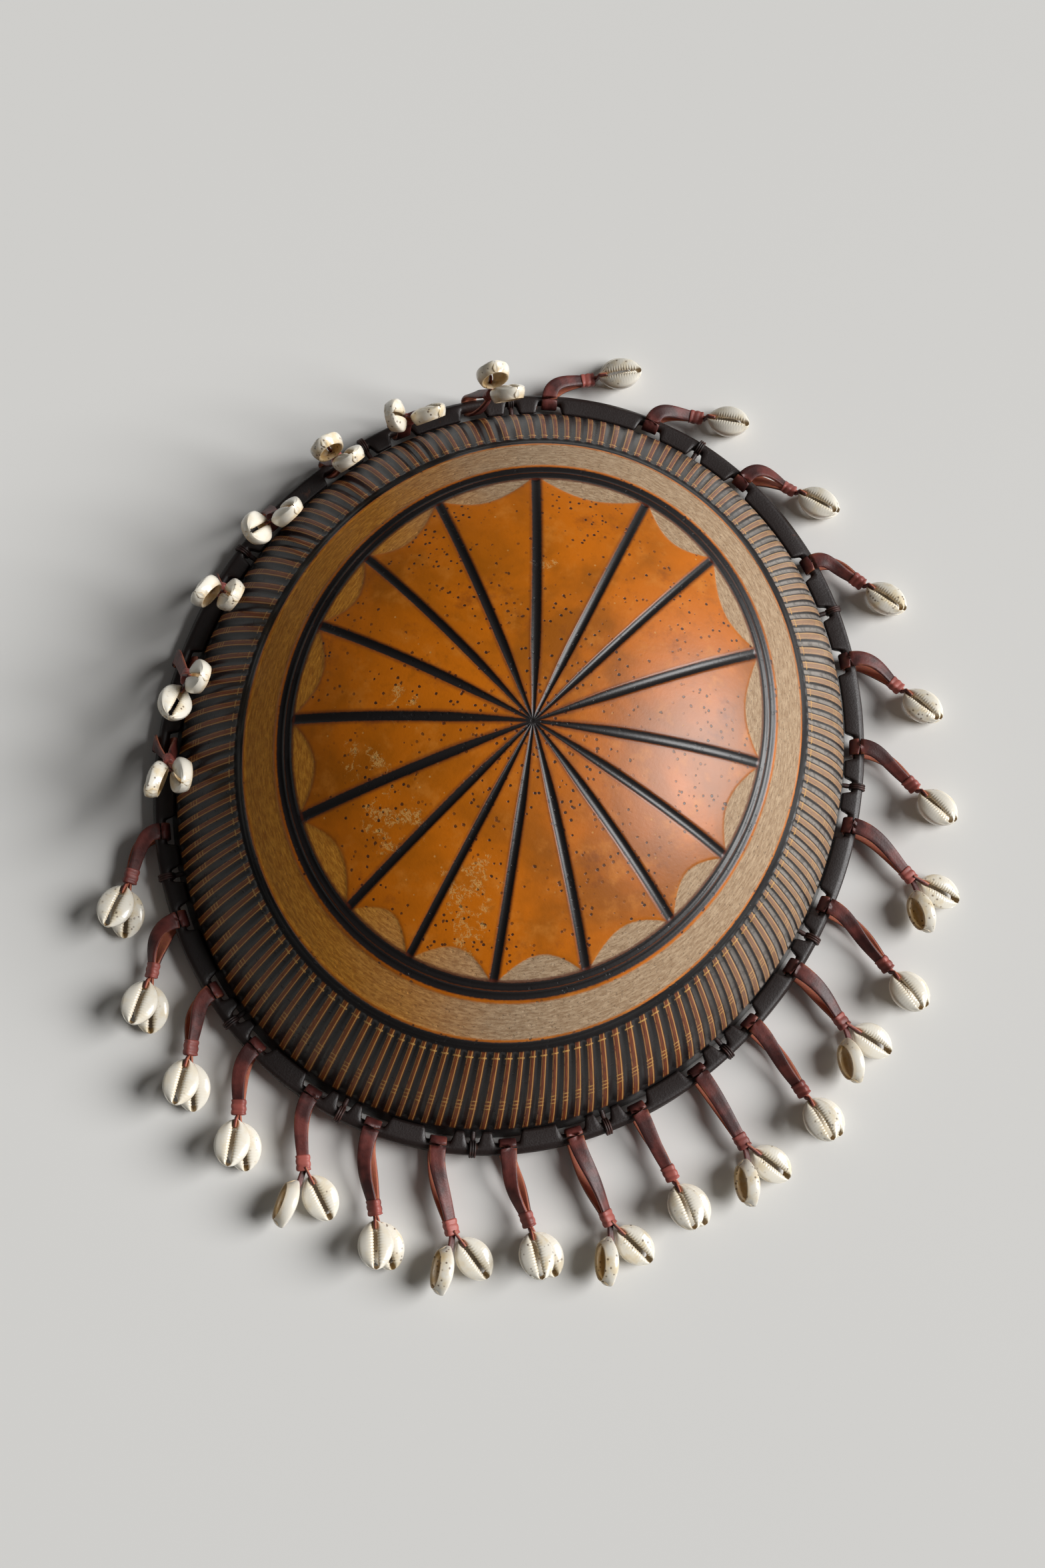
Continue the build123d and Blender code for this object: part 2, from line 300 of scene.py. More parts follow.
class Finish:
    """A material whose nodes are written as sums."""

    def __init__(self, name):
        self.material = bpy.data.materials.new(name)
        self.material.use_nodes = True
        self.tree = self.material.node_tree
        self.shader = next(n for n in self.tree.nodes if n.type == "BSDF_PRINCIPLED")

    def plug(self, socket, value):
        """Links a socket to a shade, or sets it to a constant."""
        if isinstance(value, Shade):
            self.tree.links.new(value.socket, socket)
        else:
            socket.default_value = value

    def node(self, kind, settings=None, sockets=None, out=0):
        """Adds a node, with its settings and what goes into its sockets, and gives one of its outputs."""
        node = self.tree.nodes.new(kind)
        for key, value in (settings or {}).items():
            setattr(node, key, value)
        for key, value in (sockets or {}).items():
            self.plug(node.inputs[key], value)
        return Shade(self, node.outputs[out])

    def ramp(self, share, stops):
        """A level that runs straight from stop to stop as the share goes from 0 to 1."""
        level = self.node("ShaderNodeValToRGB", sockets={0: share})
        ramp = level.socket.node.color_ramp
        ramp.interpolation = "LINEAR"
        while len(ramp.elements) < len(stops):
            ramp.elements.new(1.0)
        for element, (place, height) in zip(ramp.elements, stops):
            element.position = place
            element.color = (height, height, height, 1)
        return level

    def point(self):
        """The point on the object."""
        return self.node("ShaderNodeTexCoord", out="Object")

    def numbers(self, point):
        """A point's three numbers."""
        first = self.node("ShaderNodeSeparateXYZ", sockets={0: point})
        return [Shade(self, output) for output in first.socket.node.outputs]

    def attribute(self, name):
        return self.node("ShaderNodeAttribute", {"attribute_name": name}, out="Fac")

    def vector(self, x, y, z):
        return self.node("ShaderNodeCombineXYZ", sockets={0: x, 1: y, 2: z})

    def stretch(self, point, x, y, z):
        return self.node("ShaderNodeVectorMath", {"operation": "MULTIPLY"}, {0: point, 1: (x, y, z)})

    def noise(self, point, scale, detail=3.0, roughness=0.55, distortion=0.0):
        return self.node("ShaderNodeTexNoise", sockets={
            "Vector": point, "Scale": scale, "Detail": detail, "Roughness": roughness,
            "Distortion": distortion,
        })

    def cells(self, point, scale):
        """How far a point is from the nearest of scattered spots."""
        return self.node("ShaderNodeTexVoronoi", sockets={"Vector": point, "Scale": scale}, out="Distance")

    def mix(self, share, one, other):
        """Colour one, turning into the other as the share goes from 0 to 1."""
        one, other = (c if isinstance(c, Shade) else (*c, 1) for c in (one, other))
        return self.node("ShaderNodeMix", {"data_type": "RGBA"}, {0: share, 6: one, 7: other}, out=2)

    def bump(self, height, strength, distance):
        return self.node(
            "ShaderNodeBump", sockets={"Height": height, "Strength": strength, "Distance": distance}
        )

    def paint(self, **sockets):
        """Sets or links the shader's own sockets, named with underscores for spaces."""
        for key, value in sockets.items():
            self.plug(self.shader.inputs[key.replace("_", " ").title().replace("Ior", "IOR")], value)
        return self.material


def dome_axes(gourd):
    """Half axes of the ellipsoid that the dome is the top of."""
    height = gourd.depth + gourd.equator_drop
    share = math.sqrt(1 - (gourd.equator_drop / height) ** 2)
    return gourd.rim_width / 2 / share, gourd.rim_length / 2 / share, height


def loop_radius(cord, thong):
    """Inner radius of a thong's fold over the cord."""
    return cord.diameter / 2 + thong.clearance


def axes_at(x, y, z, origin):
    """The frame with these axes at an origin."""
    place = Matrix((x, y, z)).transposed().to_4x4()
    place.translation = origin
    return place


def cord_place(settings, angle):
    """The frame of the cord at an angle round the oval: x outward, y along the cord, z up."""
    gourd, cord, thong = settings.rattle_gourd, settings.rattle_cord, settings.rattle_thong
    stand = cord.hang_clearance + loop_radius(cord, thong) + thong.thickness
    ring_x, ring_y = gourd.rim_width / 2 + stand, gourd.rim_length / 2 + stand
    across, along = math.cos(math.radians(angle)), math.sin(math.radians(angle))
    outward = Vector((across / ring_x, along / ring_y, 0)).normalized()
    return axes_at(outward, UP.cross(outward), UP, (ring_x * across, ring_y * along, cord.height))


def turned(axis, degrees):
    return Matrix.Rotation(math.radians(degrees), 4, axis)


def moved(x=0.0, y=0.0, z=0.0):
    return Matrix.Translation((x, y, z))


def at(place, points):
    """Points, as rows, moved into a frame."""
    turn = np.array(place.to_3x3())
    return np.asarray(points) @ turn.T + np.array(place.translation)


class Thong:
    """How one thong hangs: its lean, its eye and the places of its neck and shells."""

    def __init__(self, settings, number):
        self.thong = settings.rattle_thong
        self.number = number
        angle = THONG_ANGLES[number]
        off = (TRAIL_ANGLE - angle + 180) % 360 - 180
        self.on_dome = DOME_FROM < angle < DOME_TO
        self.lean = max(-LEAN_LIMIT, min(LEAN_LIMIT, LEAN_GAIN * off))
        if self.on_dome:
            self.lean = DOME_LEAN_GAIN * (TRAIL_ANGLE - 180 - angle)
        crowded = abs(self.lean) > SPLAY_LIMIT
        self.eye = (SHORT_EYE if crowded else EYE_LENGTHS[number % len(EYE_LENGTHS)]) * MM
        self.twist = TWISTS[number % len(TWISTS)]
        self.pair = SPLAYED_PAIR if number % 2 == 0 and not crowded else STACKED_PAIR
        self.seat = cord_place(settings, angle)
        if self.on_dome:
            self.seat = self.seat @ turned("Y", -DOME_LIFT) @ turned("X", 180)
        self.body = f"tassel_{number + 1:02d}"

    def section(self, share):
        """The frame across the eye at a share of its length: x along the width, z along the strap."""
        away = Vector((math.cos(math.radians(self.lean)), math.sin(math.radians(self.lean)), 0))
        start, third = self.thong.lean_start, self.eye / 3
        end = Vector((start, 0, 0)) + away * (self.eye - start)
        points = [Vector((0, 0, 0)), Vector((third, 0, 0)), end - away * third, end]
        s, r = share, 1 - share
        point = sum((p * k for p, k in zip(points, (r**3, 3 * r * r * s, 3 * r * s * s, s**3))), Vector())
        steps = [b - a for a, b in zip(points, points[1:])]
        along = sum((d * k for d, k in zip(steps, (r * r, 2 * r * s, s * s))), Vector()).normalized()
        level = axes_at(UP.cross(along), UP, along, point)
        return level @ turned("Z", self.twist * s * s * (3 - 2 * s))

    def shells(self):
        """The frame of each shell of the pair, its distance from the neck and its lift above it."""
        neck = self.section(1)
        along = neck.to_3x3().col[2]
        beyond = self.thong.neck_length - self.thong.neck_overlap
        outlet = axes_at(along, UP.cross(along), UP, neck.translation + along * beyond)
        for side, height, turn, rise, roll, tail, lift in self.pair:
            place = outlet @ moved(0, side * MM, height * MM) @ turned("Z", turn) @ turned("Y", -rise)
            yield place @ moved(tail * MM, 0, lift * MM) @ turned("X", roll), tail * MM, lift * MM


class Shape:
    """Points, faces and the numbers that a finish reads from each point."""

    def __init__(self):
        self.points, self.faces, self.kinds, self.numbers = [], [], [], {}
        self.count = 0

    def grid(self, rows, closed=True, ends=True, kind=0, **numbers):
        """Joins rows of points into a skin, each row a loop if closed, with its ends filled."""
        rows = np.asarray(rows, dtype=float)
        high, wide = rows.shape[:2]
        index = np.arange(high * wide).reshape(high, wide) + self.count
        after = np.roll(index, -1, axis=1) if closed else index[:, 1:]
        first = index if closed else index[:, :-1]
        quads = np.stack([first[:-1], after[:-1], after[1:], first[1:]], axis=-1).reshape(-1, 4)
        self.faces += quads.tolist()
        self.kinds += [kind] * len(quads)
        if ends:
            self.fill(index[0, ::-1], kind)
            self.fill(index[-1], kind)
        self.points.append(rows.reshape(-1, 3))
        self.count += high * wide
        for name, values in numbers.items():
            spread = np.broadcast_to(np.asarray(values, dtype=float), (high, wide)).reshape(-1)
            self.numbers.setdefault(name, []).append(spread)

    def fill(self, loop, kind=0):
        """Closes a loop of points, given by their numbers, with one face."""
        self.faces.append([int(number) for number in loop])
        self.kinds.append(kind)

    def build(self, name, materials, place=None):
        mesh = bpy.data.meshes.new(name)
        points = np.concatenate(self.points)
        if place is not None:
            points = at(place, points)
        mesh.from_pydata(points.tolist(), [], self.faces)
        for material in materials:
            mesh.materials.append(material)
        mesh.polygons.foreach_set("material_index", self.kinds)
        mesh.polygons.foreach_set("use_smooth", [True] * len(mesh.polygons))
        for key, values in self.numbers.items():
            layer = mesh.attributes.new(key, "FLOAT", "POINT")
            layer.data.foreach_set("value", np.concatenate(values))
        self.weld(mesh)
        piece = bpy.data.objects.new(name, mesh)
        bpy.context.scene.collection.objects.link(piece)
        return piece

    def weld(self, mesh):
        """Joins rows that meet and turns the faces outward."""
        skin = bmesh.new()
        skin.from_mesh(mesh)
        bmesh.ops.remove_doubles(skin, verts=skin.verts, dist=1e-6)
        bmesh.ops.recalc_face_normals(skin, faces=skin.faces)
        skin.to_mesh(mesh)
        skin.free()


def dress(piece, body, slot, *nodes):
    """Makes a piece ride on its body and stand for its nodes."""
    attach(piece, body)
    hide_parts(*nodes)


def soft_step(values, low, high):
    """0 below low, 1 above high and a soft step between them."""
    t = np.clip((values - low) / (high - low), 0, 1)
    return t * t * (3 - 2 * t)


def hollow(off, half):
    """Depth of a rounded groove, from 1 at its middle to 0 at half its width."""
    return np.clip(1 - (off / half) ** 2, 0, 1)


def spoke_stops():
    """Turns round the hub, from 0 to 1, against the number of spokes passed, as shares of one more."""
    places = [(angle + 180) / 360 for angle in SPOKES]
    count = len(places)
    gap = places[0] + 1 - places[-1]
    stops = [(0.0, 1 - places[0] / gap)]
    stops += [(place, k + 1) for k, place in enumerate(places)]
    stops.append((1.0, count + (1 - places[-1]) / gap))
    return [(place, passed / (count + 1)) for place, passed in stops]


def hatch_phase(gourd, angle, sine):
    """Bars passed round the hatched band, a little uneven as they were cut by hand."""
    phase = angle * (gourd.bars / (2 * math.pi))
    for times, start, size in BAR_WAVES:
        phase = phase + sine(angle * times + start) * size
    return phase


def carving(gourd, x, y):
    """How far the carving lies below the skin at points seen from above."""
    oval = gourd.rim_length / gourd.rim_width
    radius = np.hypot(x, y / oval)
    inside = radius < gourd.star_edge

    # The star: spokes burnt from the hub and crescents scraped between their ends
    across, along = x - gourd.hub[0], y - gourd.hub[1]
    from_hub = np.hypot(across, along)
    turn = np.arctan2(along, across) / (2 * np.pi) + 0.5
    places, levels = zip(*spoke_stops())
    passed = (np.interp(turn, places, levels) * (len(SPOKES) + 1)) % 1
    off_spoke = from_hub * (0.5 - np.abs(passed - 0.5)) * 2 * np.pi / len(SPOKES)
    growth = soft_step(from_hub, 0, SPOKE_GROWTH)
    half = (gourd.spoke_hub_width + (gourd.spoke_width - gourd.spoke_hub_width) * growth) / 2
    depth = gourd.groove * hollow(off_spoke, half * 1.15) * inside * (0.35 + 0.65 * growth)
    edge = gourd.star_edge - gourd.scallop * hollow(2 * passed - 1, CRESCENT_SHARE)
    crescent = soft_step(radius, edge - SOFT_EDGE, edge + SOFT_EDGE) * inside
    depth = np.maximum(depth, CRESCENT_DEPTH * crescent)

    # The double ring, the scraped band and the dark lines
    strand = (gourd.ring_edge - gourd.star_edge) / 4
    for centre in (gourd.star_edge + strand, gourd.ring_edge - strand):
        depth = np.maximum(depth, gourd.groove * hollow(radius - centre, strand))
    middle = (gourd.star_edge + gourd.ring_edge) / 2
    depth = np.where(np.abs(radius - middle) < 0.2 * MM, depth * 0.5, depth)
    pale = soft_step(radius, gourd.pale_from - SOFT_EDGE, gourd.pale_from + SOFT_EDGE)
    pale *= 1 - soft_step(radius, gourd.pale_to - SOFT_EDGE, gourd.pale_to + SOFT_EDGE)
    depth = np.maximum(depth, PALE_DEPTH * pale)
    line = (gourd.hatch_from - gourd.lines_from) / 3
    wave = np.abs(np.sin(np.pi * (radius - gourd.lines_from) / line))
    lines = (radius > gourd.lines_from) & (radius < gourd.hatch_from)
    depth = np.maximum(depth, 0.75 * gourd.groove * wave * lines)

    # The hatching, a groove and a bar by turns
    phase = hatch_phase(gourd, np.arctan2(y / oval, x), np.sin) % 1
    groove = np.clip(np.sin(2 * np.pi * (phase - 0.5)), 0, 1) ** 0.6
    band = soft_step(radius, gourd.hatch_from, gourd.hatch_from + 1.2 * MM)
    band *= 1 - soft_step(radius, gourd.hatch_to - 1.0 * MM, gourd.hatch_to)
    return np.maximum(depth, gourd.groove * groove * band)


def gourd_skin(gourd):
    """The carved outside: polished skin, burnt grooves, scraped bands and scratched hatching."""
    f = Finish("gourd_skin")
    point = f.point()
    x, y, _ = f.numbers(point)
    flat = y / (gourd.rim_length / gourd.rim_width)
    fine = f.noise(point, 700, 2.0)
    uneven = (fine - 0.5) * (0.5 * MM)
    radius = x.hypot(flat) + uneven
    angle = flat.arctan2(x)

    # Where the burnt spokes lie, and the scorched skin beside them
    across, along = x - gourd.hub[0], y - gourd.hub[1]
    from_hub = across.hypot(along)
    turn = along.arctan2(across) / (2 * math.pi) + 0.5
    sector = (f.ramp(turn, spoke_stops()) * (len(SPOKES) + 1)).part()
    off_spoke = from_hub * (0.5 - abs(sector - 0.5)) * (2 * math.pi / len(SPOKES)) + uneven
    growth = from_hub.rise(0.0, SPOKE_GROWTH)
    half = (growth * (gourd.spoke_width - gourd.spoke_hub_width) + gourd.spoke_hub_width) * 0.5
    in_star = 1 - radius.rise(gourd.star_edge - 0.2 * MM, gourd.star_edge + 0.2 * MM)
    beyond = off_spoke - half
    spoke = (1 - beyond.rise(-0.3 * MM, 0.3 * MM)) * in_star
    halo = (1 - beyond.rise(-0.2 * MM, 1.8 * MM)) * in_star

    # The polished skin, with its pits and flaked spots
    broad = f.noise(point, 17, 4.0, 0.6, 0.4)
    blotch = f.noise(point, 75, 4.0, 0.65)
    skin = f.mix(broad.rise(0.34, 0.62), gourd.amber, gourd.orange)
    skin = f.mix(blotch.rise(0.5, 0.75) * 0.5, skin, gourd.apricot)
    skin = f.mix(f.noise(point, 160, 5.0, 0.7).rise(0.52, 0.72) * 0.4, skin, gourd.amber)
    skin = f.mix(f.noise(point, 48, 5.0, 0.7).rise(0.56, 0.74) * 0.4, skin, gourd.scorch)
    clusters = f.noise(point, 34, 3.0).rise(0.4, 0.56)
    ragged = (f.noise(point, 900, 2.0) - 0.5) * 0.22
    pits = (1 - (f.cells(point, 300) + ragged).rise(0.15, 0.24)) * clusters
    pits = pits.most((1 - (f.cells(point, 150) + ragged).rise(0.07, 0.13)) * 0.85)
    skin = f.mix(pits * 0.9, skin, gourd.char)
    flaked = functools.reduce(Shade.most, [
        1 - (x - spot_x * MM).hypot(y - spot_y * MM).rise(0.2 * reach * MM, reach * MM)
        for spot_x, spot_y, reach in FLAKED
    ])
    patch = (flaked * 0.6 + (f.noise(point, 120, 5.0, 0.7) - 0.5) * 2.4).rise(0.52, 0.72)
    worms = 1 - abs(f.noise(point, 460, 4.0, 0.65, 0.4) - 0.5).rise(0.02, 0.08)
    specks = (1 - f.cells(point, 170).rise(0.05, 0.1)) * (1 - clusters) * 0.7
    flakes = (patch * flaked.rise(0.05, 0.3) * worms).most(specks)
    skin = f.mix(flakes * 0.75, skin, gourd.scratch)

    # The scraped wood of the crescents and the pale band, browned on the oiled side
    fibres = f.noise(f.vector(radius * 1300, angle * 26, 0.0), 1.0, 5.0, 0.65, 0.3)
    flecks = f.noise(f.vector(radius * 1500, angle * 90, 0.0), 1.0, 3.0, 0.7)
    oilward = x * OILED_WAY[0] + y * OILED_WAY[1] + (broad - 0.5) * (60 * MM)
    oiled = oilward.rise(0.0, 80 * MM)
    wood = f.mix(oiled * 0.95, gourd.pale, gourd.stain)
    scraped = f.mix((1 - fibres.rise(0.34, 0.7)) * 0.75, wood, f.mix(oiled, gourd.streak, gourd.amber))
    scraped = f.mix(flecks.rise(0.56, 0.68) * (0.55 - oiled * 0.3), scraped, gourd.char)
    spread = (sector - 0.5) * (2 / CRESCENT_SHARE)
    edge = gourd.star_edge - (1 - spread * spread).most(0.0) * gourd.scallop
    scallop = (radius - edge).rise(-0.5 * MM, 0.4 * MM) * in_star
    tint = f.mix(halo * 0.75, f.mix(scallop, skin, scraped), gourd.scorch)
    tint = f.mix(spoke, tint, gourd.char)

    # The double ring, the pale band and the dark lines
    ring_scorch = radius.between(gourd.star_edge - 0.9 * MM, gourd.ring_edge + 0.3 * MM, 0.5 * MM)
    tint = f.mix(ring_scorch * 0.8, tint, gourd.scorch)
    ring = radius.between(gourd.star_edge, gourd.ring_edge, 0.3 * MM)
    middle = (gourd.star_edge + gourd.ring_edge) / 2
    seam = 1 - abs(radius - middle).rise(0.1 * MM, 0.35 * MM)
    tint = f.mix(ring * (1 - seam * 0.45), tint, gourd.char)
    pale = radius.between(gourd.pale_from, gourd.pale_to, 0.5 * MM)
    tint = f.mix(pale, tint, scraped)
    lines = radius.rise(gourd.lines_from - 0.3 * MM, gourd.lines_from + 0.3 * MM)
    tint = f.mix(lines, tint, gourd.char)

    # The hatching: bars with scratches along and across them, and painted sheen on the side that faces the
    # light, grey in the grooves and paler on the bars
    hatch = radius.between(gourd.hatch_from + 0.4 * MM, gourd.hatch_to, 0.4 * MM)
    phase = hatch_phase(gourd, angle, Shade.sine).part()
    bar = phase.between(0.03, 0.47, 0.035)
    grainy = f.noise(f.vector(radius * 250, angle * 420, 0.0), 1.0, 4.0, 0.6)
    wood = f.mix(grainy.rise(0.38, 0.62), gourd.scorch, gourd.bar)
    wood = f.mix(oiled * 0.4, wood, gourd.amber)
    broken = f.noise(point, 320, 3.0).rise(0.33, 0.5)
    cut = phase.between(0.37, 0.43, 0.025) + phase.between(0.07, 0.11, 0.02) * 0.8 * broken
    low = gourd.hatch_from + 0.64 * (gourd.hatch_to - gourd.hatch_from)
    for step in (0.0, 1.3, 2.6):
        scratch = radius.between(low + step * MM, low + (step + 0.35) * MM, 0.2 * MM)
        cut = cut.most(scratch * broken.most(0.55))
    wood = f.mix(cut * 0.85, wood, gourd.scratch)
    # Painted sheen on the side that faces the light: patches of grey painted in its grooves, and its bars
    # painted paler
    sheen_side = 1 - oilward.rise(-125 * MM, -65 * MM)
    worn = phase.between(0.58, 0.88, 0.06) * sheen_side * broken.most(0.6)
    tint = f.mix(hatch * worn * 0.85, tint, gourd.painted_sheen)
    tint = f.mix(hatch * bar, tint, f.mix(sheen_side * 0.45, wood, gourd.pale))
    tick_at = gourd.hatch_from + 2.2 * MM
    tick = radius.between(tick_at, tick_at + 0.5 * MM, 0.2 * MM)
    tick = tick * (phase + 0.1).part().between(0.04, 0.64, 0.03)
    tint = f.mix(tick * broken.most(0.6) * 0.8, tint, gourd.scratch)

    # How each part shines, and the relief that is too fine for the mesh
    burnt = spoke.most(ring).most(lines * (1 - hatch * bar))
    dull = scallop.most(pale)
    rough = 0.4 + dull * 0.24 - burnt * 0.04 + hatch * bar * 0.06 + (blotch - 0.5) * 0.16 + flakes * 0.25
    relief = (fibres - 0.5) * dull * 0.5 - pits * 0.6 + (fine - 0.5) * 0.25
    relief = relief - cut * hatch * bar * 0.5 - flakes * 0.3
    polish = (1 - dull) * (1 - oilward.rise(-60 * MM, 50 * MM)) * 0.45
    return f.paint(
        base_color=tint, roughness=rough, normal=f.bump(relief, 0.5, 0.4 * MM), coat_weight=polish,
        coat_roughness=0.36, specular_ior_level=0.28,
    )


def gourd_inside(gourd):
    """The scraped inner wall, with faint fibres and stains."""
    f = Finish("gourd_inside")
    point = f.point()
    _, _, z = f.numbers(point)
    fibres = f.noise(f.stretch(point, 1, 1, 0.35), 140, 5.0, 0.65, 0.5)
    stains = f.noise(point, 14, 4.0, 0.6, 0.6)
    tint = f.mix(fibres.rise(0.35, 0.68), gourd.streak, gourd.inside)
    tint = f.mix(stains.rise(0.52, 0.74) * 0.6, tint, gourd.scorch)
    tint = f.mix(1 - z.rise(1.0 * MM, 5.0 * MM), tint, gourd.char)
    rough = 0.72 + (fibres - 0.5) * 0.2
    return f.paint(base_color=tint, roughness=rough, normal=f.bump(fibres, 0.5, 0.6 * MM))


def thong_leather(thong):
    """Dyed grain outside, undyed flesh inside and on the cut edges, with a rosy lace round the neck."""
    f = Finish("thong_leather")
    side = f.attribute("strap_side")
    lace = f.attribute("strap_lace")
    along = f.attribute("strap_along")
    across = f.attribute("strap_across")
    strap = f.vector(across, along, f.attribute("strap_number"))
    broad = f.noise(strap, 90, 3.0, 0.6)
    pores = f.noise(strap, 1100, 3.0, 0.7)
    grain = f.mix(broad.rise(0.36, 0.66), thong.shade, thong.grain)
    grain = f.mix(pores.rise(0.55, 0.75) * 0.35, grain, thong.shade)
    hairs = f.noise(f.stretch(strap, 3, 0.6, 1), 900, 4.0, 0.7)
    flesh = f.mix(hairs.rise(0.35, 0.65) * 0.8, thong.binding, thong.flesh)
    tint = f.mix((side * -1).rise(-0.1, 0.6), grain, flesh)
    worn = (abs(across) * 1000).rise(2.4, 3.6) * broad.rise(0.5, 0.7)
    tint = f.mix(worn * 0.5, tint, thong.flesh)
    wound = f.mix(broad.rise(0.35, 0.65), thong.grain, thong.binding)
    tint = f.mix(lace, tint, wound)
    rough = 0.48 + (pores - 0.5) * 0.25 + (side * -1).rise(0.0, 0.6) * 0.2
    return f.paint(base_color=tint, roughness=rough, normal=f.bump(pores, 0.4, 0.25 * MM))


def cord_leather(cord):
    """The rolled cord: dark and worn on top, rosy beneath, with rubbed spots."""
    f = Finish("cord_leather")
    point = f.point()
    _, _, z = f.numbers(point)
    broad = f.noise(point, 42, 4.0, 0.6)
    pores = f.noise(point, 1100, 3.0, 0.7)
    under = 1 - (z + (broad - 0.5) * (2.4 * MM)).rise(cord.height - 1.6 * MM, cord.height + 0.8 * MM)
    tint = f.mix(under, cord.dark, cord.rosy)
    tint = f.mix(f.noise(point, 120, 4.0, 0.65).rise(0.5, 0.72) * 0.5, tint, cord.dark)
    tint = f.mix(f.noise(point, 75, 3.0).rise(0.68, 0.76) * 0.8, tint, cord.worn)
    tint = f.mix(f.attribute("cord_seam") * 0.7, tint, cord.dark)
    rough = 0.45 + (pores - 0.5) * 0.3
    return f.paint(base_color=tint, roughness=rough, normal=f.bump(pores + broad, 0.35, 0.35 * MM))


def tie_leather(cord):
    """The dark lace of the lashings."""
    f = Finish("tie_leather")
    point = f.point()
    broad = f.noise(point, 160, 4.0, 0.65)
    pores = f.noise(point, 1300, 3.0, 0.7)
    tint = f.mix(broad.rise(0.4, 0.66), cord.dark, cord.rosy)
    rough = 0.55 + (pores - 0.5) * 0.3
    return f.paint(base_color=tint, roughness=rough, normal=f.bump(pores, 0.35, 0.25 * MM))


def shell_glaze(shell):
    """Glossy ivory, warmer up the flanks, honey on the cut edge and inside, grimy in the pits."""
    f = Finish("shell_glaze")
    pick = f.attribute("shell_pick")
    height = f.attribute("shell_z")
    spot = f.vector(f.attribute("shell_x"), f.attribute("shell_y"), height + pick)
    inner = f.attribute("shell_inner")
    cloud = f.noise(spot, 130, 4.0, 0.6)
    warm = cloud.rise(0.44, 0.66) * (pick * 0.7 + 0.2)
    tint = f.mix(warm, shell.ivory, shell.cream)
    rim = (height + (cloud - 0.5) * (2.5 * MM)).rise(shell.back - 1.9 * MM, shell.back - 0.2 * MM)
    tint = f.mix(rim * 0.45, tint, shell.honey)
    tint = f.mix(inner * (cloud.rise(0.3, 0.6) * 0.5 + 0.4), tint, shell.honey)
    # Cream on the slit's walls and between the teeth: partly the shell's own warm tint, partly painted shade
    # in these hollows
    tint = f.mix(f.attribute("shell_gum") * 0.4, tint, shell.cream)
    dirt = (1 - f.cells(spot, 420).rise(0.14, 0.28)) * (cloud + pick * 0.45).rise(0.68, 0.84)
    tint = f.mix(dirt * 0.8, tint, shell.grime)
    rough = 0.2 + inner * 0.2 + dirt * 0.3 + (cloud - 0.5) * 0.12
    normal = f.bump(cloud - dirt, 0.15, 0.3 * MM)
    return f.paint(base_color=tint, roughness=rough, normal=normal, coat_weight=0.3)


def stage_floor(stage):
    """The pale ground, which shows from above only, so that the mouth can be seen from below."""
    f = Finish("stage_floor")
    soft = f.noise(f.point(), 5, 3.0)
    under = f.node("ShaderNodeNewGeometry", out="Backfacing")
    ground, clear = Shade(f, f.shader.outputs[0]), f.node("ShaderNodeBsdfTransparent")
    surface = f.node("ShaderNodeMixShader", sockets={0: under, 1: ground, 2: clear})
    ending = next(n for n in f.tree.nodes if n.type == "OUTPUT_MATERIAL")
    f.tree.links.new(surface.socket, ending.inputs["Surface"])
    return f.paint(base_color=f.mix(soft * 0.08, stage.floor, stage.floor_shade), roughness=0.75)


def rimward(shares):
    """Shares of the way from the crown to the rim, closer together towards the rim."""
    return np.sin(shares * ROW_CROWDING) / math.sin(ROW_CROWDING)


